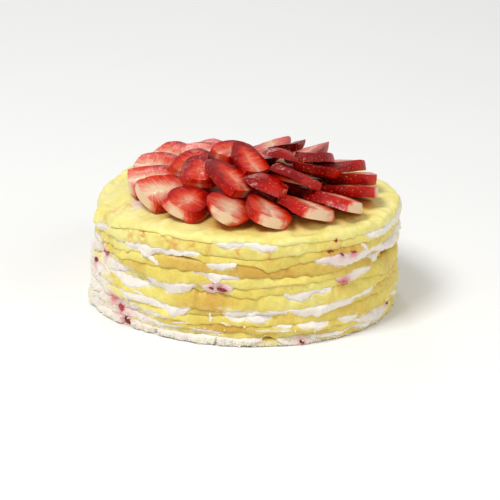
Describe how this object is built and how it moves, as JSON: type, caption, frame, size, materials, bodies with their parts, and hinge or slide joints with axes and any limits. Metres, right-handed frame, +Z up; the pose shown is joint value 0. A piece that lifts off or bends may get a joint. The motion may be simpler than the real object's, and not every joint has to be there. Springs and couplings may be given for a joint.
{
  "type": "crepe cake with strawberry slices",
  "caption": "Round layered crepe cake: thin crepes stacked with whipped cream, topped with a rosette of sliced strawberries.",
  "frame": {"origin": "middle of the underside, where the cake rests", "axes": "+Z up, -Y towards the front shown, +X to the right"},
  "size_m": [0.2198, 0.2214, 0.1175],
  "materials": {
    "crepe": "thin egg crepe, pale yellow, darker where it browned, soft and slightly glossy",
    "cream": "whipped cream, off-white, matt, tinged pink beside berries",
    "strawberry": "fresh cut strawberry, wet and glossy, dark red skin, paler flesh inside"
  },
  "bodies": {
    "root": {"crepe_01": "crepe", "crepe_02": "crepe", "crepe_03": "crepe", "crepe_04": "crepe", "crepe_05": "crepe", "crepe_06": "crepe", "crepe_07": "crepe", "crepe_08": "crepe", "crepe_09": "crepe", "crepe_10": "crepe", "crepe_11": "crepe", "crepe_12": "crepe", "cream_01": "cream", "cream_02": "cream", "cream_03": "cream", "cream_04": "cream", "cream_05": "cream", "cream_06": "cream", "cream_07": "cream", "cream_08": "cream", "cream_09": "cream", "cream_10": "cream", "cream_11": "cream", "slice_outer_01": "strawberry", "slice_outer_02": "strawberry", "slice_outer_03": "strawberry", "slice_outer_04": "strawberry", "slice_outer_05": "strawberry", "slice_outer_06": "strawberry", "slice_outer_07": "strawberry", "slice_outer_08": "strawberry", "slice_outer_09": "strawberry", "slice_outer_10": "strawberry", "slice_outer_11": "strawberry", "slice_outer_12": "strawberry", "slice_outer_13": "strawberry", "slice_outer_14": "strawberry", "slice_outer_15": "strawberry", "slice_lower_01": "strawberry", "slice_lower_02": "strawberry", "slice_lower_03": "strawberry", "slice_lower_04": "strawberry", "slice_lower_05": "strawberry", "slice_lower_06": "strawberry", "slice_middle_01": "strawberry", "slice_middle_02": "strawberry", "slice_middle_03": "strawberry", "slice_middle_04": "strawberry", "slice_middle_05": "strawberry", "slice_middle_06": "strawberry", "slice_middle_07": "strawberry", "slice_middle_08": "strawberry", "slice_middle_09": "strawberry", "slice_middle_10": "strawberry", "slice_inner_01": "strawberry", "slice_inner_02": "strawberry", "slice_inner_03": "strawberry", "slice_inner_04": "strawberry"}
  },
  "joints": []
}
